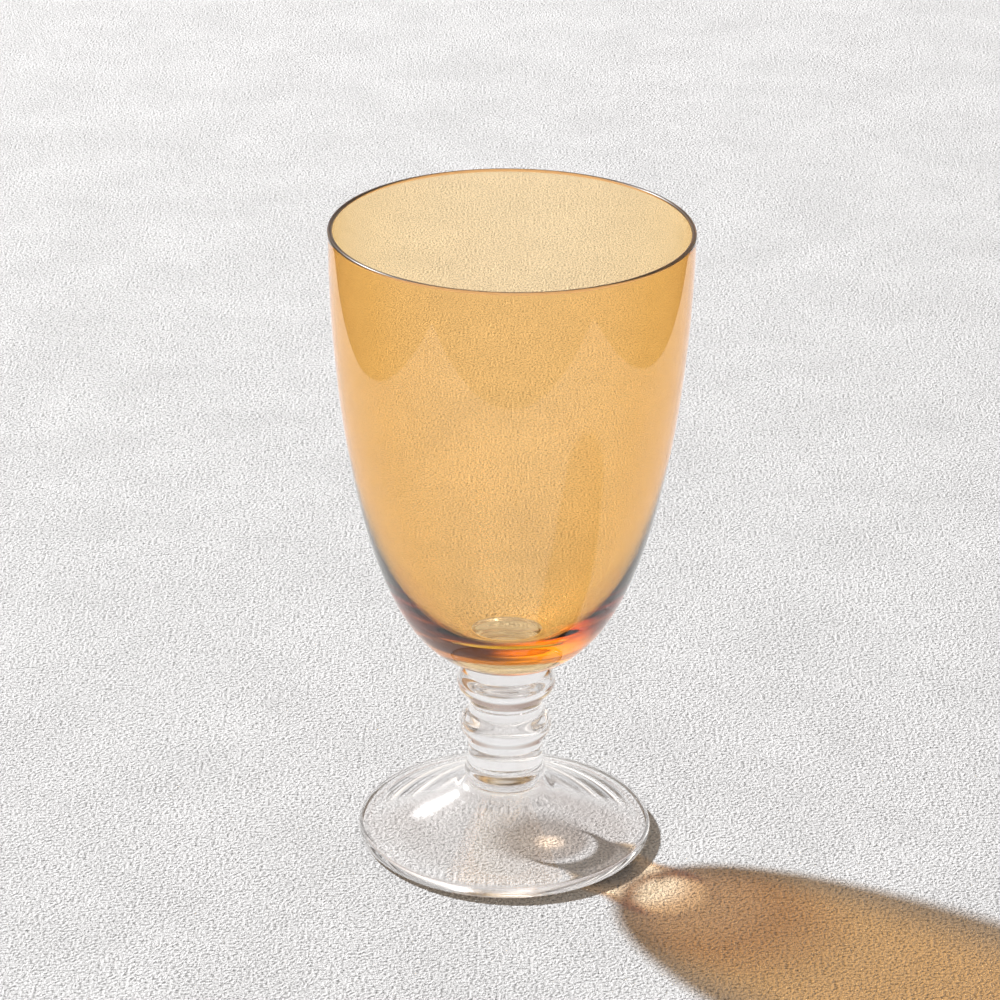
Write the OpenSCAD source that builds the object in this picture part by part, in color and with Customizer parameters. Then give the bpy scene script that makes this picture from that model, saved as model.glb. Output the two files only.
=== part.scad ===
// Water goblet: a thin bowl with an amber stain outside, on a short beaded stem and a low hollow foot.
// The three gathers of glass are joined hot, face to face, and nothing on the goblet moves.
// Lengths are in millimetres. The axis of revolution is Z, and the goblet stands on Z = 0.

/* [Bowl] */
// Outside diameter at the rim
bowl_d = 89.5; // [76:0.5:110]
// Height of the bowl, from its joint with the stem to the rim
bowl_h = 115.2; // [90:0.2:150]
// Thickness of the wall, which ends in a round lip
bowl_wall = 1.2; // [0.8:0.1:2.5]
// Thickness of the floor over the stem
bowl_floor = 6.2; // [4:0.2:14]
// Diameter of the joint between the bowl and the stem
bowl_joint_d = 20.6; // [14:0.2:28]
// Fullness of the side of the bowl, where 2 is an ellipse
bowl_side_power = 2.93; // [2:0.01:4]
// Fullness of the base of the bowl, where 2 is an ellipse
bowl_base_power = 1.82; // [1.5:0.01:2.5]
// How closely the thickening of the wall keeps to the base of the bowl
bowl_thickening_power = 4.8; // [3:0.1:8]

/* [Stem] */
// Diameter of the top bead, under the bowl
top_bead_d = 25; // [21:0.2:32]
// Height from the widest of the top bead up to the bowl
top_bead_fall = 6.3; // [3:0.1:10]
// Height from the upper neck up to the widest of the top bead
top_bead_rise = 6.5; // [3:0.1:10]
// Diameter of the upper neck
upper_neck_d = 18.4; // [12:0.2:20]
// Height from the widest of the middle bead up to the upper neck
middle_bead_fall = 5.4; // [3:0.1:10]
// Diameter of the middle bead
middle_bead_d = 23.3; // [20:0.1:30]
// Height from the lower neck up to the widest of the middle bead
middle_bead_rise = 5.4; // [3:0.1:10]
// Diameter of the lower neck
lower_neck_d = 19; // [12:0.2:20]
// Length of the lower neck
lower_neck_h = 4.7; // [2:0.1:20]
// Height from the widest of the base bead up to the lower neck
base_bead_fall = 3.5; // [2:0.1:6]
// Diameter of the base bead, over the foot
base_bead_d = 21; // [20:0.1:28]
// Height from the foot up to the widest of the base bead
base_bead_rise = 2.3; // [1.5:0.1:5]

/* [Foot] */
// Outside diameter of the foot
foot_d = 75; // [66:0.5:95]
// Height of the foot, from the table to its joint with the stem
foot_h = 15.7; // [12:0.1:24]
// Diameter of the joint between the stem and the foot
foot_joint_d = 19.4; // [14:0.2:20]
// Height of the rounded edge
foot_edge_h = 4.3; // [3:0.1:6]
// Thickness of glass between the top of the hollow and the stem
foot_wall = 2.2; // [1.2:0.1:6]
// Diameter of the nearly flat top of the hollow, below which it spreads like a cone
hollow_top_d = 24; // [10:0.5:40]
// Distance from the edge of the foot in to the flat ring that it stands on
rest_inset = 2; // [1:0.1:5]
// Width of the flat ring that the foot stands on
rest_w = 1.2; // [0.8:0.1:5]

/* [Hidden] */

// Smoothness of the round surfaces, and of the outlines that are turned
$fn = 128;
curve_steps = 40;
lip_steps = 12;
bead_steps = 10;
edge_steps = 8;

// Heights of the two joints and of the rim
stem_h = base_bead_rise + base_bead_fall + lower_neck_h + middle_bead_rise
    + middle_bead_fall + top_bead_rise + top_bead_fall;
bowl_joint_z = foot_h + stem_h;
rim_z = bowl_joint_z + bowl_h;

// The bowl's outline follows sin and cos of one angle, from the joint to 90 degrees at the lip
bowl_r = bowl_d / 2;
lip_r = bowl_wall / 2;
lip_z = rim_z - lip_r;
joint_angle = asin(pow(bowl_joint_d / bowl_d, bowl_side_power / 2));
outside_depth = (bowl_h - lip_r) / pow(cos(joint_angle), 2 / bowl_base_power);
floor_lift = bowl_joint_z + bowl_floor - (lip_z - outside_depth);

// The foot's edge is widest part of the way up and turns into the slope at the shoulder
foot_r = foot_d / 2;
rest_r = foot_r - rest_inset;
hollow_r = rest_r - rest_w;
hollow_h = foot_h - foot_wall;
hollow_top_r = hollow_top_d / 2;
hollow_reach = hollow_r - hollow_top_r;
edge_widest_share = 0.62;
shoulder_share = 0.37;
shoulder_turn = 66;
slope_power = 1.15;
hollow_power = 1.12;
hollow_side_share = 0.8;
edge_widest_z = edge_widest_share * foot_edge_h;
shoulder_w = shoulder_share * foot_edge_h;
shoulder = edge_top(shoulder_turn);
hollow_side_h = hollow_side_share * hollow_h;
hollow_top_fall = hollow_h - hollow_side_h;
hollow_top_turn = hollow_power * hollow_side_h / hollow_reach * hollow_top_r / hollow_top_fall;

// A number of even steps from one value to another
function steps(from, to, count) = [for (i = [0 : count]) from + (to - from) * i / count];

// Radius and drop below the lip of a point on the bowl's outside, or on its inside
function side(a) = pow(sin(a), 2 / bowl_side_power);
function drop(a) = outside_depth * pow(cos(a), 2 / bowl_base_power);
function thickening(a) = floor_lift * pow(cos(a), bowl_thickening_power);
function bowl_outside(a) = [bowl_r * side(a), lip_z - drop(a)];
function bowl_inside(a) = [(bowl_r - bowl_wall) * side(a), lip_z - drop(a) + thickening(a)];
function bowl_lip(a) = [bowl_r - lip_r + lip_r * cos(a), lip_z + lip_r * sin(a)];

// One stretch of the stem swells from a radius at one height to a radius at another, in a half wave
function swell(low, high) = [
    for (i = [1 : bead_steps])
        let (t = i / bead_steps)
        [low.x + (high.x - low.x) * (1 - cos(180 * t)) / 2, low.y + (high.y - low.y) * t]
];

// Lower and upper quarter of the foot's rounded edge by angle, its slope as a share of the way,
// and its hollow, whose top and side go by share and meet at the same slope
function edge_low(a) = [rest_r + (foot_r - rest_r) * sin(a), edge_widest_z * (1 - cos(a))];
function edge_top(a) = [
    foot_r - shoulder_w * (1 - cos(a)),
    edge_widest_z + (foot_edge_h - edge_widest_z) * sin(a)
];
function slope(t) = [
    shoulder.x + (foot_joint_d / 2 - shoulder.x) * t,
    shoulder.y + (foot_h - shoulder.y) * pow(t, slope_power)
];
function hollow_top(t) = [
    hollow_top_r * t,
    hollow_h - hollow_top_fall * ((8 - hollow_top_turn) * pow(t, 6) - (6 - hollow_top_turn) * pow(t, 8)) / 2
];
function hollow_side(t) = [hollow_top_r + hollow_reach * t, hollow_side_h * pow(1 - t, hollow_power)];

// Widest and narrowest places of the stem, as radius and height, from the foot to the bowl
base_bead = [base_bead_d / 2, foot_h + base_bead_rise];
lower_neck_foot = [lower_neck_d / 2, base_bead.y + base_bead_fall];
lower_neck_head = [lower_neck_d / 2, lower_neck_foot.y + lower_neck_h];
middle_bead = [middle_bead_d / 2, lower_neck_head.y + middle_bead_rise];
upper_neck = [upper_neck_d / 2, middle_bead.y + middle_bead_fall];
top_bead = [top_bead_d / 2, upper_neck.y + top_bead_rise];
stem_places = [
    [foot_joint_d / 2, foot_h], base_bead, lower_neck_foot, lower_neck_head,
    middle_bead, upper_neck, top_bead, [bowl_joint_d / 2, bowl_joint_z]
];

// Bowl, blown thin and stained amber outside, with a heavier base and a lip rounded by the flame
module bowl() {
    outside = [for (a = steps(joint_angle, 90, curve_steps)) bowl_outside(a)];
    lip = [for (i = [1 : lip_steps - 1]) bowl_lip(180 * i / lip_steps)];
    inside = [for (a = steps(90, 0, curve_steps)) bowl_inside(a)];
    color("goldenrod", 0.6)
        rotate_extrude()
            polygon(concat([[0, bowl_joint_z]], outside, lip, inside));
}

// Solid clear stem with three beads, flat where it meets the bowl and the foot
module stem() {
    side_points = [for (i = [1 : len(stem_places) - 1]) each swell(stem_places[i - 1], stem_places[i])];
    color("aliceblue", 0.6)
        rotate_extrude()
            polygon(concat([[0, foot_h], stem_places[0]], side_points, [[0, bowl_joint_z]]));
}

// Clear foot: a low cone with a round edge, over a hollow cone, resting on a narrow flat ring
module foot() {
    low_edge = [for (a = steps(0, 90, edge_steps)) edge_low(a)];
    top_edge = [for (i = [1 : edge_steps]) edge_top(shoulder_turn * i / edge_steps)];
    cone = [for (i = [1 : edge_steps]) slope(i / edge_steps)];
    under_top = [for (t = steps(0, 1, curve_steps / 2)) hollow_top(t)];
    under_side = [for (i = [1 : edge_steps]) hollow_side(i / edge_steps)];
    color("aliceblue", 0.6)
        rotate_extrude()
            polygon(concat(under_top, under_side, low_edge, top_edge, cone, [[0, foot_h]]));
}

bowl();
stem();
foot();
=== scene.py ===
# %% [markdown]
# # A water goblet in three gathers of glass
# The goblet is made of glass alone: a thin amber bowl, a short clear stem with three beads, and a low
# clear foot. On the real object each is a separate gather, joined to the next while it is hot.
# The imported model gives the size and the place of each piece. Here each piece is made again with
# smoother curves, gets a glass finish, and takes the place of its plain solid.

# %% Load the frame
import math

import bpy
from mathutils import Matrix, Vector


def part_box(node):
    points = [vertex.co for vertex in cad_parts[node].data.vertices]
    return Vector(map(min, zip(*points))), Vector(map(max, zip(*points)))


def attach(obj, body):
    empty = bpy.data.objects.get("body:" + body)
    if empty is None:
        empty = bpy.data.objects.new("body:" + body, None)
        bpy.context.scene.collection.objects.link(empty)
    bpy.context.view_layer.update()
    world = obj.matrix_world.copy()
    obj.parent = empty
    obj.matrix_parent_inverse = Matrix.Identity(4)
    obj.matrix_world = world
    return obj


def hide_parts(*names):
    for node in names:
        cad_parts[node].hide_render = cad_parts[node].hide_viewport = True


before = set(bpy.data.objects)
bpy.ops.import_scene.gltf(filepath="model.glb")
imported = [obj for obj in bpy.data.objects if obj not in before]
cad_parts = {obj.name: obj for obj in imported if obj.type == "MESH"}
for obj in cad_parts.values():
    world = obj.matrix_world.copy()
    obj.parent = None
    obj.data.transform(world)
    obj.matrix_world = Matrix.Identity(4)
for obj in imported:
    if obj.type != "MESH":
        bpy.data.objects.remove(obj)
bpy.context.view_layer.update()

print("The frame holds", ", ".join(sorted(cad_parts)))

# %% [markdown]
# ## Sizes
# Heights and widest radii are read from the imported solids, so the glass stays where the solids are.
# The two joints are the flat faces at the ends of the stem. All lengths are in metres.

# %% Read the heights and radii
bowl_low, bowl_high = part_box("bowl")
foot_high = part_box("foot")[1]

rim_radius = bowl_high.x
rim_height = bowl_high.z
upper_joint_height = bowl_low.z
lower_joint_height = foot_high.z
foot_radius = foot_high.x

print("Rim at", round(rim_height, 4), "joints at", round(upper_joint_height, 4), round(lower_joint_height, 4))

# %% [markdown]
# ## Turning an outline
# Every piece of the goblet is round, because a glassmaker turns the pipe all the while. A lathe-like
# shape can be made with a Screw modifier or with the Spin operator. Spin is used here: a single point
# is extruded along the outline, the outline is spun round the axis, and then the first and the last
# copy are merged. Normals are recalculated, because Spin can leave a shape inside out.

# %% Helpers that draw an outline and spin it
TURNS = 192
MERGE_DISTANCE = 1e-6
SHARPEST_SMOOTH_ANGLE = math.radians(14)


def steps(start, end, count):
    """Even steps from one value to another, with both ends."""
    return [start + (end - start) * i / count for i in range(count + 1)]


def draw_outline(name, points):
    """A new object in edit mode, with one chain of edges through points of a radius and a height."""
    bpy.ops.object.select_all(action="DESELECT")
    bpy.ops.mesh.primitive_plane_add(size=rim_radius, location=(0, 0, 0))
    piece = bpy.context.object
    piece.name = name
    piece.data.name = name
    bpy.ops.object.mode_set(mode="EDIT")
    bpy.ops.mesh.select_all(action="SELECT")
    bpy.ops.mesh.merge(type="CENTER")
    corners = [Vector((radius, 0, height)) for radius, height in points]
    bpy.ops.transform.translate(value=corners[0])
    for here, there in zip(corners, corners[1:]):
        bpy.ops.mesh.extrude_vertices_move(TRANSFORM_OT_translate={"value": there - here})
    return piece


def turn(name, points):
    """Spins an outline that starts and ends on the axis into a closed piece of glass."""
    piece = draw_outline(name, points)
    bpy.ops.mesh.select_all(action="SELECT")
    bpy.ops.mesh.spin(steps=TURNS, angle=math.tau, center=(0, 0, 0), axis=(0, 0, 1))
    bpy.ops.mesh.select_all(action="SELECT")
    bpy.ops.mesh.remove_doubles(threshold=MERGE_DISTANCE)
    bpy.ops.mesh.normals_make_consistent(inside=False)
    bpy.ops.object.mode_set(mode="OBJECT")
    bpy.ops.object.shade_smooth_by_angle(angle=SHARPEST_SMOOTH_ANGLE)
    print(name, "has", len(piece.data.polygons), "faces")
    return piece


# %% [markdown]
# ## Bowl
# The bowl is blown thin, with a heavier base where the gather was thickest, and its lip is rounded by
# the flame. Its side follows the sine and its depth the cosine of one angle, each raised to a power.
# That gives an egg-like curve with full sides from only two numbers. The inside is the same curve drawn
# in by the wall and lifted at the base, so the wall thickens smoothly towards the floor.

# %% Outline of the bowl
wall = 0.0012
floor_thickness = 0.0062
upper_joint_radius = 0.0103
side_power = 2.93
base_power = 1.82
thickening_power = 4.8
BOWL_STEPS = 96
LIP_STEPS = 24

lip_radius = wall / 2
lip_height = rim_height - lip_radius
joint_angle = math.asin((upper_joint_radius / rim_radius) ** (side_power / 2))
outside_depth = (lip_height - upper_joint_height) / math.cos(joint_angle) ** (2 / base_power)
floor_lift = upper_joint_height + floor_thickness - (lip_height - outside_depth)


def bowl_curve(angle, radius, lift):
    """A point on the outside of the bowl, or on its inside with a smaller radius and a lifted base."""
    side = math.sin(angle) ** (2 / side_power)
    depth = outside_depth * max(math.cos(angle), 0) ** (2 / base_power)
    return radius * side, lip_height - depth + lift * max(math.cos(angle), 0) ** thickening_power


def lip_curve(angle):
    """A point on the round lip, from the outside over the top to the inside."""
    return rim_radius - lip_radius + lip_radius * math.cos(angle), lip_height + lip_radius * math.sin(angle)


right_angle = math.pi / 2
bowl_outside = [bowl_curve(a, rim_radius, 0) for a in steps(joint_angle, right_angle, BOWL_STEPS)]
bowl_lip = [lip_curve(a) for a in steps(0, math.pi, LIP_STEPS)][1:-1]
inside_angles = steps(right_angle, 0, BOWL_STEPS)
bowl_inside = [bowl_curve(a, rim_radius - wall, floor_lift) for a in inside_angles]
bowl_outline = [(0, upper_joint_height)] + bowl_outside + bowl_lip + bowl_inside
print("The bowl's outline has", len(bowl_outline), "points")

# %% Turn the bowl
bowl = turn("blown_bowl", bowl_outline)

# %% [markdown]
# ## Stem
# The stem is one solid gather of clear glass. While it turns, the maker pinches it with a tool, which
# leaves a large bead under the bowl, a second bead, a plain neck and a small bead over the foot.
# Each stretch between a bead and a neck is half a wave. The ends stand a hair's breadth away from the bowl
# and the foot, so that rays of light meet the two faces of a joint one after the other.

# %% Outline of the stem
lower_joint_radius = 0.0097
base_bead_radius, base_bead_rise, base_bead_fall = 0.0105, 0.0023, 0.0035
lower_neck_radius, lower_neck_height = 0.0095, 0.0047
middle_bead_radius, middle_bead_rise, middle_bead_fall = 0.01165, 0.0054, 0.0054
upper_neck_radius = 0.0092
top_bead_radius, top_bead_rise = 0.0125, 0.0065
joint_gap = 0.00001
BEAD_STEPS = 16

stem_low = lower_joint_height + joint_gap
stem_high = upper_joint_height - joint_gap
base_bead_height = lower_joint_height + base_bead_rise
lower_neck_low = base_bead_height + base_bead_fall
lower_neck_high = lower_neck_low + lower_neck_height
middle_bead_height = lower_neck_high + middle_bead_rise
upper_neck_height = middle_bead_height + middle_bead_fall
stem_places = [
    (lower_joint_radius, stem_low),
    (base_bead_radius, base_bead_height),
    (lower_neck_radius, lower_neck_low),
    (lower_neck_radius, lower_neck_high),
    (middle_bead_radius, middle_bead_height),
    (upper_neck_radius, upper_neck_height),
    (top_bead_radius, upper_neck_height + top_bead_rise),
    (upper_joint_radius, stem_high),
]


def swell(low, high):
    """Points of half a wave from one radius and height to the next."""
    middle = (low[0] + high[0]) / 2
    reach = (high[0] - low[0]) / 2
    shares = steps(0, 1, BEAD_STEPS)[1:]
    return [(middle - reach * math.cos(math.pi * t), low[1] + (high[1] - low[1]) * t) for t in shares]


stem_outline = [(0, stem_low), stem_places[0]]
for low, high in zip(stem_places, stem_places[1:]):
    stem_outline += swell(low, high)
stem_outline.append((0, stem_high))
print("The stem's outline has", len(stem_outline), "points")

# %% Turn the stem
stem = turn("beaded_stem", stem_outline)

# %% [markdown]
# ## Foot
# The foot is a low cone of clear glass with a round edge. Underneath it is hollow, so the goblet stands
# on a narrow ring and doesn't rock. The hollow matters for the looks as well: it lets the eye see
# through the foot to the table, where a solid foot would act as a lens. Its top is nearly flat, and
# mirrors the stem, which gives the dark band at the bottom of the stem. Its side is a cone, and the two
# curves meet at the same slope, so that no ring shows.

# %% Outline of the foot
foot_wall = 0.0022
hollow_top_radius = 0.012
rest_inset = 0.002
rest_width = 0.0012
edge_height = 0.0043
edge_widest_share = 0.62
shoulder_share = 0.37
shoulder_turn = math.radians(66)
slope_power = 1.15
hollow_power = 1.12
hollow_side_share = 0.8
EDGE_STEPS = 16
SLOPE_STEPS = 32

edge_widest_height = edge_widest_share * edge_height
shoulder_width = shoulder_share * edge_height
rest_radius = foot_radius - rest_inset
hollow_radius = rest_radius - rest_width
hollow_height = lower_joint_height - foot_wall
hollow_reach = hollow_radius - hollow_top_radius
hollow_side_height = hollow_side_share * hollow_height
hollow_top_fall = hollow_height - hollow_side_height
hollow_top_turn = hollow_power * hollow_side_height / hollow_reach * hollow_top_radius / hollow_top_fall


def hollow_top_curve(t):
    """A point on the nearly flat top of the hollow, which bends down and meets the slope of its side."""
    fall = (8 - hollow_top_turn) * t**6 / 2 - (6 - hollow_top_turn) * t**8 / 2
    return hollow_top_radius * t, hollow_height - hollow_top_fall * fall


def hollow_side_curve(t):
    """A point on the side of the hollow, from its top down to the table."""
    return hollow_top_radius + hollow_reach * t, hollow_side_height * (1 - t) ** hollow_power


def low_edge_curve(angle):
    """A point on the edge below its widest place."""
    reach = foot_radius - rest_radius
    return rest_radius + reach * math.sin(angle), edge_widest_height * (1 - math.cos(angle))


def top_edge_curve(angle):
    """A point on the edge above its widest place."""
    rise = edge_height - edge_widest_height
    return (
        foot_radius - shoulder_width * (1 - math.cos(angle)),
        edge_widest_height + rise * math.sin(angle),
    )


shoulder = top_edge_curve(shoulder_turn)


def slope_curve(t):
    """A point on the cone, from the shoulder up to the stem."""
    return (
        shoulder[0] + (lower_joint_radius - shoulder[0]) * t,
        shoulder[1] + (lower_joint_height - shoulder[1]) * t**slope_power,
    )


foot_outline = [hollow_top_curve(t) for t in steps(0, 1, SLOPE_STEPS)]
foot_outline += [hollow_side_curve(t) for t in steps(0, 1, SLOPE_STEPS)[1:]]
foot_outline += [low_edge_curve(a) for a in steps(0, right_angle, EDGE_STEPS)]
foot_outline += [top_edge_curve(a) for a in steps(0, shoulder_turn, EDGE_STEPS)[1:]]
foot_outline += [slope_curve(t) for t in steps(0, 1, SLOPE_STEPS)[1:]]
foot_outline.append((0, lower_joint_height))
print("The foot's outline has", len(foot_outline), "points")

# %% Turn the foot
foot = turn("hollow_foot", foot_outline)

# %% [markdown]
# ## Marks of the making
# Blown glass is never quite even. Its surface carries slow waves, and faint rings where the tool
# touched it as it turned. Both glasses share this, so it is a node group with its own inputs. It puts
# out a height for a Bump node and a mask for a very faint change of tint.

# %% Helpers for nodes
def add_node(tree, kind, inputs=None, **settings):
    """A new node with some of its settings and plain inputs."""
    node = tree.nodes.new(kind)
    for name, value in settings.items():
        setattr(node, name, value)
    for name, value in (inputs or {}).items():
        node.inputs[name].default_value = value
    return node


def link(tree, source, target):
    """Joins an output to an input."""
    tree.links.new(source, target)


def map_range(tree, source, low, high, to_low, to_high):
    """An output that follows the source from one range to another and stops at its ends."""
    node = add_node(tree, "ShaderNodeMapRange")
    node.inputs["From Min"].default_value = low
    node.inputs["From Max"].default_value = high
    node.inputs["To Min"].default_value = to_low
    node.inputs["To Max"].default_value = to_high
    link(tree, source, node.inputs["Value"])
    return node.outputs["Result"]


def maths(tree, operation, first, second):
    """An output that joins two outputs by a sum, a product or the like."""
    node = add_node(tree, "ShaderNodeMath", operation=operation)
    link(tree, first, node.inputs[0])
    link(tree, second, node.inputs[1])
    return node.outputs[0]


def mix_colours(tree, share, first, second):
    """An output that goes from the first colour to the second as the share goes from 0 to 1."""
    node = add_node(tree, "ShaderNodeMix", data_type="RGBA")
    node.inputs["A"].default_value = (*first, 1)
    node.inputs["B"].default_value = (*second, 1)
    link(tree, share, node.inputs["Factor"])
    return node.outputs["Result"]


def mix_into(tree, share, first, second, **settings):
    """An output that goes from the first output to the second colour as the share goes from 0 to 1."""
    node = add_node(tree, "ShaderNodeMix", data_type="RGBA", **settings)
    node.inputs["B"].default_value = (*second, 1)
    link(tree, share, node.inputs["Factor"])
    link(tree, first, node.inputs["A"])
    return node.outputs["Result"]


# %% Node group of the waves and tool rings
RING_STRETCH = (0.12, 0.12, 1.0)
RING_SHARE = 0.35
ripple = bpy.data.node_groups.new("blown_ripple", "ShaderNodeTree")
ripple.interface.new_socket("Vector", in_out="INPUT", socket_type="NodeSocketVector")
ripple.interface.new_socket("Wave Scale", in_out="INPUT", socket_type="NodeSocketFloat")
ripple.interface.new_socket("Ring Scale", in_out="INPUT", socket_type="NodeSocketFloat")
ripple.interface.new_socket("Height", in_out="OUTPUT", socket_type="NodeSocketFloat")
ripple.interface.new_socket("Tint", in_out="OUTPUT", socket_type="NodeSocketFloat")

entry = add_node(ripple, "NodeGroupInput")
result = add_node(ripple, "NodeGroupOutput")
waves = add_node(ripple, "ShaderNodeTexNoise", {"Detail": 1.0})
flatten = add_node(ripple, "ShaderNodeVectorMath", operation="MULTIPLY")
flatten.inputs[1].default_value = RING_STRETCH
rings = add_node(ripple, "ShaderNodeTexNoise", {"Detail": 1.0})
both = add_node(ripple, "ShaderNodeMix", {"Factor": RING_SHARE})
link(ripple, entry.outputs["Vector"], waves.inputs["Vector"])
link(ripple, entry.outputs["Wave Scale"], waves.inputs["Scale"])
link(ripple, entry.outputs["Vector"], flatten.inputs[0])
link(ripple, flatten.outputs[0], rings.inputs["Vector"])
link(ripple, entry.outputs["Ring Scale"], rings.inputs["Scale"])
link(ripple, waves.outputs["Fac"], both.inputs["A"])
link(ripple, rings.outputs["Fac"], both.inputs["B"])
link(ripple, both.outputs["Result"], result.inputs["Height"])
link(ripple, waves.outputs["Fac"], result.inputs["Tint"])
print("The group", ripple.name, "has", len(ripple.nodes), "nodes")

# %% [markdown]
# ## Glass
# The bowl's glass is clear, and its colour is a thin amber stain on the outside. That can be seen at the
# foot of the bowl, where the thick base is no darker than the wall and the joint is paler. So the
# outside has its own material, and the inside, the stem and the foot are clear. A Principled shader
# tints light each time it crosses the surface. The stain looks deeper where it is seen at a slant,
# because light then takes a longer way through it, and a Layer Weight node stands for that.
#
# Light that is caught in the base is thrown back by the outside again and again, and passes the stain
# twice each time. A mirror in a browner amber stands for that, on the back of the faces only.

# %% Surface of a glass
GLASS_IOR = 1.5
WAVE_SCALE = 50.0
RING_SCALE = 240.0
SLANT_STARTS, SLANT_ENDS = 0.02, 0.4


def glass_surface(tree, pale, deep, slanted, roughness, ripple_depth):
    """A glass whose tint goes from pale to deep, or to slanted at a slant, and its rippled normal."""
    place = add_node(tree, "ShaderNodeTexCoord")
    marks = add_node(tree, "ShaderNodeGroup", node_tree=ripple)
    marks.inputs["Wave Scale"].default_value = WAVE_SCALE
    marks.inputs["Ring Scale"].default_value = RING_SCALE
    link(tree, place.outputs["Object"], marks.inputs["Vector"])
    bump = add_node(tree, "ShaderNodeBump", {"Distance": ripple_depth})
    link(tree, marks.outputs["Height"], bump.inputs["Height"])

    shader = add_node(tree, "ShaderNodeBsdfPrincipled")
    shader.inputs["Transmission Weight"].default_value = 1.0
    shader.inputs["Roughness"].default_value = roughness
    shader.inputs["IOR"].default_value = GLASS_IOR
    facing = add_node(tree, "ShaderNodeLayerWeight", {"Blend": 0.5})
    slant = map_range(tree, facing.outputs["Facing"], SLANT_STARTS, SLANT_ENDS, 0.0, 1.0)
    tint = mix_into(tree, slant, mix_colours(tree, marks.outputs["Tint"], pale, deep), slanted)
    link(tree, tint, shader.inputs["Base Color"])
    link(tree, bump.outputs["Normal"], shader.inputs["Normal"])
    return shader.outputs[0], bump.outputs["Normal"]


def stained_mirror(tree, glass, normal, stain, roughness):
    """The glass, with a mirror in the colour of the stain for light that meets the stain from inside."""
    mirror = add_node(tree, "ShaderNodeBsdfAnisotropic")
    mirror.inputs["Roughness"].default_value = roughness
    mirror.inputs["Color"].default_value = (*stain, 1)
    link(tree, normal, mirror.inputs["Normal"])
    thrown_back = add_node(tree, "ShaderNodeFresnel", {"IOR": GLASS_IOR})
    link(tree, normal, thrown_back.inputs["Normal"])
    side = add_node(tree, "ShaderNodeNewGeometry")
    caught = add_node(tree, "ShaderNodeMixShader")
    share = maths(tree, "MULTIPLY", side.outputs["Backfacing"], thrown_back.outputs[0])
    link(tree, share, caught.inputs["Fac"])
    link(tree, glass, caught.inputs[1])
    link(tree, mirror.outputs[0], caught.inputs[2])
    return caught.outputs[0]


# %% [markdown]
# ## Light on the floor
# Bent light that reaches the floor through glass is slow to compute, so lamp light goes straight through
# here, and a Transparent shader says how much arrives. It counts where light leaves the glass for the
# floor, and is least where the glass turns away from the lamp, which paints darker edges into the shadows.
# A ramp paints by height or radius what bent light in thick glass would do: painted light gathered under
# the bowl, painted shade where the stem bends light away, and hardly any light through the foot's edge.

# %% Passage of lamp light through a glass
WHITE = (1.0, 1.0, 1.0)


def distance_from_axis(tree, place):
    """An output with the radius at which a place on the surface lies."""
    flat = add_node(tree, "ShaderNodeVectorMath", operation="MULTIPLY")
    flat.inputs[1].default_value = (1, 1, 0)
    span = add_node(tree, "ShaderNodeVectorMath", operation="LENGTH")
    link(tree, place, flat.inputs[0])
    link(tree, flat.outputs[0], span.inputs[0])
    return span.outputs["Value"]


def lamp_passage(tree, measure, low, high, stops, edge, grazing_starts, grazing_ends):
    """A Transparent shader whose colour follows the height or the radius from low to high."""
    place = add_node(tree, "ShaderNodeTexCoord")
    if measure == "height":
        split = add_node(tree, "ShaderNodeSeparateXYZ")
        link(tree, place.outputs["Object"], split.inputs[0])
        reading = split.outputs["Z"]
    else:
        reading = distance_from_axis(tree, place.outputs["Object"])
    ramp = add_node(tree, "ShaderNodeValToRGB")
    for index, (share, colour) in enumerate(stops):
        element = ramp.color_ramp.elements[index] if index < 2 else ramp.color_ramp.elements.new(share)
        element.position = share
        element.color = (*colour, 1)
    link(tree, map_range(tree, reading, low, high, 0.0, 1.0), ramp.inputs["Fac"])

    facing = add_node(tree, "ShaderNodeLayerWeight", {"Blend": 0.5})
    grazing = map_range(tree, facing.outputs["Facing"], grazing_starts, grazing_ends, 0.0, 1.0)
    dimmed = mix_into(tree, grazing, ramp.outputs["Color"], edge, blend_type="MULTIPLY")
    side = add_node(tree, "ShaderNodeNewGeometry")
    arriving = mix_into(tree, side.outputs["Backfacing"], dimmed, WHITE)
    straight = add_node(tree, "ShaderNodeBsdfTransparent")
    link(tree, arriving, straight.inputs["Color"])
    return straight.outputs[0]


# %% A whole glass from both
def make_glass(name, pale, deep, slanted, passage, roughness=0.0, ripple_depth=0.00001, stain=None):
    """A glass with its three tints, with what lamp_passage asks for, and with or without a stain."""
    material = bpy.data.materials.new(name)
    material.use_nodes = True
    tree = material.node_tree
    tree.nodes.clear()
    glass, normal = glass_surface(tree, pale, deep, slanted, roughness, ripple_depth)
    if stain is not None:
        glass = stained_mirror(tree, glass, normal, stain, roughness)
    path = add_node(tree, "ShaderNodeLightPath")
    from_floor = maths(tree, "MAXIMUM", path.outputs["Is Shadow Ray"], path.outputs["Is Diffuse Ray"])
    chosen = add_node(tree, "ShaderNodeMixShader")
    link(tree, from_floor, chosen.inputs["Fac"])
    link(tree, glass, chosen.inputs[1])
    link(tree, lamp_passage(tree, **passage), chosen.inputs[2])
    output = add_node(tree, "ShaderNodeOutputMaterial")
    link(tree, chosen.outputs[0], output.inputs["Surface"])
    print("Made", name)
    return material


# %% [markdown]
# ## Finishes of the three pieces
# The amber stain is on the outside of the bowl. The lip was melted round after the staining, so its
# surface is a little soft and its amber is browner. The clear glasses differ only in how they pass lamp
# light on. The top of the foot's hollow is slightly frosted, because it touched the mould. That makes the
# glint of the lamp in it soft and short.

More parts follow.
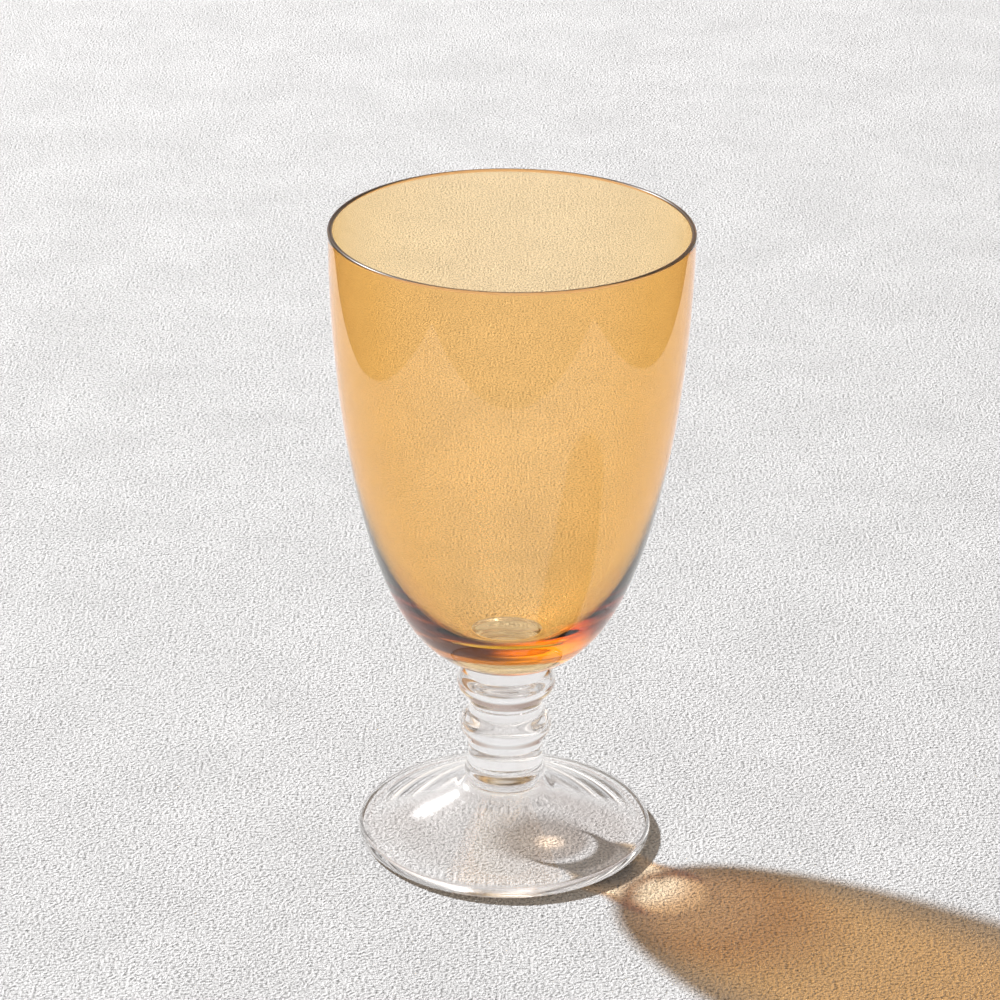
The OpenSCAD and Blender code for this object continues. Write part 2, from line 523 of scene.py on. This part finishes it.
# %% Amber stain and the lip
AMBER_RAMP_HEIGHT = 0.03
amber = make_glass(
    "amber_stain",
    pale=(0.99, 0.625, 0.245),
    deep=(0.99, 0.595, 0.225),
    slanted=(0.93, 0.49, 0.11),
    # The passage paints the light and shade in the bowl's amber shadow on the floor, by height, with darker
    # edges.
    passage={
        "measure": "height",
        "low": upper_joint_height,
        "high": upper_joint_height + AMBER_RAMP_HEIGHT,
        "stops": [
            (0.0, (0.52, 0.25, 0.07)), (0.2, (0.47, 0.19, 0.02)),
            (0.6, (0.64, 0.33, 0.08)), (1.0, (0.68, 0.35, 0.085)),
        ],
        "edge": (0.5, 0.58, 1.0),
        "grazing_starts": 0.22,
        "grazing_ends": 0.62,
    },
    ripple_depth=0.00002,
    stain=(0.9, 0.66, 0.14),
)
lip_glass = make_glass(
    "lip_glass",
    pale=(0.95, 0.5, 0.2),
    deep=(0.95, 0.45, 0.17),
    slanted=(0.95, 0.47, 0.18),
    passage={
        "measure": "height",
        "low": rim_height - wall,
        "high": rim_height,
        "stops": [(0.0, (0.5, 0.3, 0.12)), (1.0, (0.4, 0.24, 0.1))],
        "edge": WHITE,
        "grazing_starts": 0.5,
        "grazing_ends": 1.0,
    },
    roughness=0.3,
)

# %% Clear glass for the inside of the bowl
NEARLY_WHITE = (0.985, 0.985, 0.99)
clear = make_glass(
    "clear_glass",
    pale=WHITE,
    deep=NEARLY_WHITE,
    slanted=NEARLY_WHITE,
    passage={
        "measure": "height",
        "low": upper_joint_height,
        "high": rim_height,
        "stops": [(0.0, NEARLY_WHITE), (1.0, WHITE)],
        "edge": (0.85, 0.83, 0.8),
        "grazing_starts": 0.7,
        "grazing_ends": 0.95,
    },
)

# %% Clear glass for the stem
# The stem's ramp paints shade on the floor under the foot, and a bright spot of painted light at the near end
# of the bowl's shadow.
SHADE = (0.2, 0.16, 0.12)
PAINTED_GATHERED_LIGHT = (1.4, 1.1, 0.74)
stem_glass = make_glass(
    "stem_glass",
    pale=WHITE,
    deep=NEARLY_WHITE,
    slanted=NEARLY_WHITE,
    passage={
        "measure": "height",
        "low": lower_joint_height,
        "high": upper_joint_height,
        "stops": [
            (0.0, SHADE), (0.1, SHADE), (0.17, (0.4, 0.35, 0.31)), (0.24, (0.3, 0.26, 0.22)),
            (0.3, (0.26, 0.21, 0.16)), (0.4, PAINTED_GATHERED_LIGHT), (0.62, PAINTED_GATHERED_LIGHT),
            (0.75, (0.8, 0.45, 0.19)), (0.9, (0.6, 0.3, 0.08)), (1.0, (0.52, 0.25, 0.07)),
        ],
        "edge": (0.6, 0.53, 0.45),
        "grazing_starts": 0.42,
        "grazing_ends": 0.75,
    },
)

# %% Clear glasses for the outside and the hollow of the foot
# The foot's ramps paint shade past its edge, a bright spot of light under the stem with a darker ring round
# it, and paler shade under the rest of the foot.
EDGE_BLEND = 0.001
PAINTED_LIGHT_SPOT = (1.35, 1.05, 0.79)
PAINTED_FOOT_SHADE = (0.8, 0.77, 0.75)
foot_glass = make_glass(
    "foot_glass",
    pale=WHITE,
    deep=NEARLY_WHITE,
    slanted=NEARLY_WHITE,
    passage={
        "measure": "radius",
        "low": hollow_radius,
        "high": hollow_radius + EDGE_BLEND,
        "stops": [(0.0, (0.9, 0.88, 0.86)), (1.0, SHADE)],
        "edge": (0.8, 0.78, 0.75),
        "grazing_starts": 0.8,
        "grazing_ends": 0.95,
    },
)
hollow_glass = make_glass(
    "hollow_glass",
    pale=WHITE,
    deep=NEARLY_WHITE,
    slanted=NEARLY_WHITE,
    passage={
        "measure": "radius",
        "low": 0.0,
        "high": hollow_radius,
        "stops": [
            (0.0, PAINTED_LIGHT_SPOT), (0.04, PAINTED_LIGHT_SPOT), (0.13, (0.53, 0.45, 0.39)), (0.27, (0.45, 0.39, 0.35)),
            (0.44, PAINTED_FOOT_SHADE), (0.75, PAINTED_FOOT_SHADE), (0.95, (0.95, 0.94, 0.93)),
        ],
        "edge": (0.95, 0.94, 0.93),
        "grazing_starts": 0.9,
        "grazing_ends": 1.0,
    },
)

# %% Frosted top of the hollow
FROST, POLISH = 0.085, 0.03
FROST_FADES, FROST_ENDS = 0.0205, 0.0245
tree = hollow_glass.node_tree
place = add_node(tree, "ShaderNodeTexCoord")
radius = distance_from_axis(tree, place.outputs["Object"])
frost = map_range(tree, radius, FROST_FADES, FROST_ENDS, FROST, POLISH)
link(tree, frost, tree.nodes["Principled BSDF"].inputs["Roughness"])
print("The hollow is frosted out to a radius of", FROST_FADES)

# %% [markdown]
# ## Fused joints
# The pieces are fused, so no surface is left inside a joint. Each piece is still a closed mesh, with a flat
# face at each joint, and a plain Transparent shader on these faces lets everything through unbent.

# %% Joint material and the faces of each piece
joint = bpy.data.materials.new("fused_joint")
joint.use_nodes = True
joint.node_tree.nodes.clear()
open_face = add_node(joint.node_tree, "ShaderNodeBsdfTransparent")
open_output = add_node(joint.node_tree, "ShaderNodeOutputMaterial")
link(joint.node_tree, open_face.outputs[0], open_output.inputs["Surface"])

JOINT_HALF_DEPTH = 0.00002
LEVEL_NORMAL = 0.999
JOINT_HEIGHTS = (lower_joint_height, upper_joint_height)


def at_joint(face):
    """Whether a face lies flat in one of the two joints."""
    level = abs(face.normal.z) > LEVEL_NORMAL
    return level and any(abs(face.center.z - height) < JOINT_HALF_DEPTH for height in JOINT_HEIGHTS)


def outward(face):
    """Whether a face looks away from the axis."""
    return face.normal.xy.dot(face.center.xy) > 0


def finish_faces(piece, outer, inner):
    """Gives a piece one glass where it looks away from the axis, another elsewhere, and open joints."""
    for material in (outer, inner, joint):
        piece.data.materials.append(material)
    counts = [0, 0, 0]
    for face in piece.data.polygons:
        face.material_index = 2 if at_joint(face) else 0 if outward(face) else 1
        counts[face.material_index] += 1
    print(piece.name, "has", counts, "faces outside, inside and in joints")


finish_faces(bowl, amber, clear)
bowl.data.materials.append(lip_glass)
lip_faces = [face for face in bowl.data.polygons if face.center.z > lip_height]
for face in lip_faces:
    face.material_index = len(bowl.data.materials) - 1
print(len(lip_faces), "faces are on the lip")
finish_faces(stem, stem_glass, stem_glass)
finish_faces(foot, foot_glass, hollow_glass)

# %% [markdown]
# ## Floor
# Glass takes its look from what is around it, so the floor matters. It is a pale, finely grained plaster:
# dark pits in the colour, with a bump of the same grain, and slow patches that keep it from looking even.
# Through glass the pits, and a little the plaster, are painted paler: painted light that stands for light
# added and lost on the way.
# In mirror reflections alone the floor is an even bright table that ends at three edges, past which
# the room is dim. That gives the bowl the darker scallops under its rim, and the goblet's own shadow on
# the table gives it a darker stripe on the right.

# %% Grain of the plaster
def plaster_grain():
    """A node group with the speckle of the plaster and the height of its grain."""
    group = bpy.data.node_groups.new("plaster_grain", "ShaderNodeTree")
    group.interface.new_socket("Vector", in_out="INPUT", socket_type="NodeSocketVector")
    group.interface.new_socket("Speckle", in_out="OUTPUT", socket_type="NodeSocketFloat")
    group.interface.new_socket("Height", in_out="OUTPUT", socket_type="NodeSocketFloat")
    start = add_node(group, "NodeGroupInput")
    end = add_node(group, "NodeGroupOutput")
    pits = add_node(group, "ShaderNodeTexNoise", {"Scale": 1150.0, "Detail": 3.0, "Roughness": 0.6})
    patches = add_node(group, "ShaderNodeTexNoise", {"Scale": 30.0, "Detail": 5.0, "Roughness": 0.6})
    for noise in (pits, patches):
        link(group, start.outputs["Vector"], noise.inputs["Vector"])
    pit = map_range(group, pits.outputs["Fac"], 0.3, 0.52, 0.0, 1.0)
    patch = map_range(group, patches.outputs["Fac"], 0.3, 0.7, 0.84, 1.0)
    link(group, maths(group, "MULTIPLY", pit, patch), end.inputs["Speckle"])
    link(group, pits.outputs["Fac"], end.inputs["Height"])
    print("Made", group.name, "with", len(group.nodes), "nodes")
    return group


# %% Pale plaster floor
FLOOR_SIZE = 8.0
PIT, PLASTER = (0.31, 0.303, 0.3), (0.93, 0.917, 0.916)
PLASTER_IN_MIRROR = (1.0, 0.985, 0.97)
# Seen through glass, the plaster and its pits are painted paler: painted light.
PIT_IN_GLASS, PLASTER_IN_GLASS = (0.38, 0.372, 0.368), (1.0, 0.987, 0.985)
PLASTER_ROUGHNESS, PLASTER_GLOSS = 0.9, 0.05
GRAIN_DEPTH = 0.0014
bpy.ops.object.select_all(action="DESELECT")
bpy.ops.mesh.primitive_plane_add(size=FLOOR_SIZE, location=(0, 0, 0))
floor = bpy.context.object
floor.name = "floor"

plaster = bpy.data.materials.new("pale_plaster")
plaster.use_nodes = True
tree = plaster.node_tree
surface = tree.nodes["Principled BSDF"]
surface.inputs["Roughness"].default_value = PLASTER_ROUGHNESS
surface.inputs["Specular IOR Level"].default_value = PLASTER_GLOSS
path = add_node(tree, "ShaderNodeLightPath")
place = add_node(tree, "ShaderNodeTexCoord")
marks = add_node(tree, "ShaderNodeGroup", node_tree=plaster_grain())
link(tree, place.outputs["Object"], marks.inputs["Vector"])
in_air = mix_colours(tree, marks.outputs["Speckle"], PIT, PLASTER)
in_glass = mix_colours(tree, marks.outputs["Speckle"], PIT_IN_GLASS, PLASTER_IN_GLASS)
seen_plaster = add_node(tree, "ShaderNodeMix", data_type="RGBA")
link(tree, path.outputs["Is Transmission Ray"], seen_plaster.inputs["Factor"])
link(tree, in_air, seen_plaster.inputs["A"])
link(tree, in_glass, seen_plaster.inputs["B"])
mirrored = maths(tree, "MULTIPLY", path.outputs["Is Glossy Ray"], path.outputs["Is Reflection Ray"])
plaster_colour = mix_into(tree, mirrored, seen_plaster.outputs["Result"], PLASTER_IN_MIRROR)
link(tree, plaster_colour, surface.inputs["Base Color"])
grain_bump = add_node(tree, "ShaderNodeBump", {"Distance": GRAIN_DEPTH})
link(tree, marks.outputs["Height"], grain_bump.inputs["Height"])
link(tree, grain_bump.outputs["Normal"], surface.inputs["Normal"])

# %% Dim room past the table in mirror reflections
TABLE_LEFT, TABLE_RIGHT, TABLE_FRONT = -0.287, 0.307, -0.26
EDGE_BLUR = 0.004
DIM = (0.05, 0.05, 0.05)
split = add_node(tree, "ShaderNodeSeparateXYZ")
link(tree, place.outputs["Object"], split.inputs[0])
past_left = map_range(tree, split.outputs["X"], TABLE_LEFT, TABLE_LEFT - EDGE_BLUR, 0.0, 1.0)
past_right = map_range(tree, split.outputs["X"], TABLE_RIGHT, TABLE_RIGHT + EDGE_BLUR, 0.0, 1.0)
past_front = map_range(tree, split.outputs["Y"], TABLE_FRONT, TABLE_FRONT - EDGE_BLUR, 0.0, 1.0)
past_edge = maths(tree, "MAXIMUM", maths(tree, "MAXIMUM", past_left, past_right), past_front)
dim_room = add_node(tree, "ShaderNodeEmission", {"Color": (*DIM, 1)})
seen = add_node(tree, "ShaderNodeMixShader")
link(tree, maths(tree, "MULTIPLY", mirrored, past_edge), seen.inputs["Fac"])
link(tree, surface.outputs[0], seen.inputs[1])
link(tree, dim_room.outputs[0], seen.inputs[2])
link(tree, seen.outputs[0], tree.nodes["Material Output"].inputs["Surface"])
floor.data.materials.append(plaster)
print("The floor is", FLOOR_SIZE, "m wide")

# %% [markdown]
# ## Studio light
# One lamp stands far behind the goblet on the left, so the bowl throws its amber shadow forward on the
# right. It is small, because the shadow has a clear edge.

# %% Lamp
lamp_direction = Vector((-0.58, 0.464, 0.669)).normalized()
LAMP_DISTANCE = 8.0
LAMP_WIDTH = 0.36
LAMP_WATTS = 1085.0
bpy.ops.object.light_add(type="AREA", location=lamp_direction * LAMP_DISTANCE)
lamp = bpy.context.object
lamp.name = "key_lamp"
lamp.data.shape = "DISK"
lamp.data.size = LAMP_WIDTH
lamp.data.energy = LAMP_WATTS
lamp.rotation_euler = lamp_direction.to_track_quat("Z", "Y").to_euler()
print("The lamp stands at", [round(value, 2) for value in lamp.location])

# %% [markdown]
# ## World
# A dim even fill lights the shadows on the floor. Glass sees more than the floor does: a dim room with
# a paler ceiling, and low behind the goblet a backdrop as pale as the floor. The camera sees that pale
# tone all round. Rays that have turned many times in thick glass see a darker room, which is painted shade,
# and a glow where the lamp is, which is painted light. The glow brings out the orange in the bowl's base.

# %% Room, ceiling and fill
FILL, ROOM, CEILING = (0.15, 0.148, 0.145), (0.46, 0.35, 0.305), (0.75, 0.735, 0.72)
CEILING_STARTS, CEILING_FULL = 0.5, 0.9
world = bpy.data.worlds.new("studio")
bpy.context.scene.world = world
world.use_nodes = True
tree = world.node_tree
path = add_node(tree, "ShaderNodeLightPath")
direction = add_node(tree, "ShaderNodeTexCoord")
split = add_node(tree, "ShaderNodeSeparateXYZ")
link(tree, direction.outputs["Generated"], split.inputs[0])

overhead = map_range(tree, split.outputs["Z"], CEILING_STARTS, CEILING_FULL, 0.0, 1.0)
seen_room = mix_colours(tree, overhead, ROOM, CEILING)
room = mix_into(tree, path.outputs["Is Diffuse Ray"], seen_room, FILL)
print("The room goes from", ROOM, "to", CEILING, "overhead, and fills shadows with", FILL)

# %% Painted darker room and glow for rays deep in thick glass
PAINTED_DARK_ROOM, PAINTED_GLOW = (0.1, 0.07, 0.055), (3.8, 3.55, 3.3)
DEEP_STARTS, DEEP_FULL = 4.5, 4.6
GLOW_REACH = 0.64
glow_direction = Vector((-0.45, 0.5, 0.74)).normalized()
from_glass = maths(tree, "MAXIMUM", path.outputs["Is Glossy Ray"], path.outputs["Is Transmission Ray"])
thrown_about = map_range(tree, path.outputs["Ray Depth"], DEEP_STARTS, DEEP_FULL, 0.0, 1.0)
deep_in_glass = maths(tree, "MULTIPLY", thrown_about, from_glass)
room = mix_into(tree, deep_in_glass, room, PAINTED_DARK_ROOM)

towards_glow = add_node(tree, "ShaderNodeVectorMath", operation="DOT_PRODUCT")
towards_glow.inputs[1].default_value = glow_direction
link(tree, direction.outputs["Generated"], towards_glow.inputs[0])
nearness = map_range(tree, towards_glow.outputs["Value"], GLOW_REACH, 1.0, 0.0, 1.0)
glow_share = maths(tree, "MULTIPLY", maths(tree, "MULTIPLY", nearness, nearness), deep_in_glass)
print("The glow lies towards", [round(value, 2) for value in glow_direction])

# %% Pale backdrop, and all of it together
PALE = (0.8, 0.8, 0.8)
LOW_ENDS, HIGH_STARTS = 0.1, 0.4
BEHIND_STARTS, BEHIND_FULL = 0.2, 0.7
near_horizon = map_range(tree, split.outputs["Z"], LOW_ENDS, HIGH_STARTS, 1.0, 0.0)
behind = map_range(tree, split.outputs["Y"], BEHIND_STARTS, BEHIND_FULL, 0.0, 1.0)
behind_or_through = maths(tree, "MAXIMUM", behind, path.outputs["Is Transmission Ray"])
backdrop = maths(tree, "MULTIPLY", near_horizon, behind_or_through)
pale_share = maths(tree, "MAXIMUM", path.outputs["Is Camera Ray"], backdrop)
surroundings = mix_into(tree, pale_share, room, PALE)
surroundings = mix_into(tree, glow_share, surroundings, PAINTED_GLOW, blend_type="ADD")
link(tree, surroundings, tree.nodes["Background"].inputs["Color"])
print("The world has", len(tree.nodes), "nodes")

# %% [markdown]
# ## Camera
# The camera looks down at the goblet from the front through a long lens, a metre away. Light turns many
# times in thick glass, and each turn counts as a bounce, so more bounces are allowed than usual.

# %% Camera
CAMERA_DISTANCE = 1.0
CAMERA_LENS, SENSOR_WIDTH = 144.43, 36.0
BOUNCES, MIRROR_BOUNCES, GLASS_BOUNCES = 24, 16, 20
camera_elevation = math.radians(23.64)
camera_roll = math.radians(0.692)
camera_aim = Vector((-0.00212, 0, 0.09306))
bpy.ops.object.camera_add()
camera = bpy.context.object
camera.data.lens = CAMERA_LENS
camera.data.sensor_width = SENSOR_WIDTH
towards_camera = Vector((0, -math.cos(camera_elevation), math.sin(camera_elevation)))
camera.matrix_world = (
    Matrix.Translation(camera_aim + towards_camera * CAMERA_DISTANCE)
    @ Matrix.Rotation(right_angle - camera_elevation, 4, "X")
    @ Matrix.Rotation(camera_roll, 4, "Z")
)
bpy.context.scene.camera = camera
bpy.context.scene.view_settings.view_transform = "Standard"
bpy.context.scene.cycles.max_bounces = BOUNCES
bpy.context.scene.cycles.glossy_bounces = MIRROR_BOUNCES
bpy.context.scene.cycles.transmission_bounces = GLASS_BOUNCES
print("The camera stands at", [round(value, 3) for value in camera.location])

# %% [markdown]
# ## Back to the frame
# Each piece takes the place of its plain solid and moves with the only body that the goblet has.

# %% Place the pieces in the frame
for piece, node, finish in [
    (bowl, "bowl", "amber_glass"),
    (stem, "stem", "clear_glass"),
    (foot, "foot", "clear_glass"),
]:
    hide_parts(node)
    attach(piece, "root")
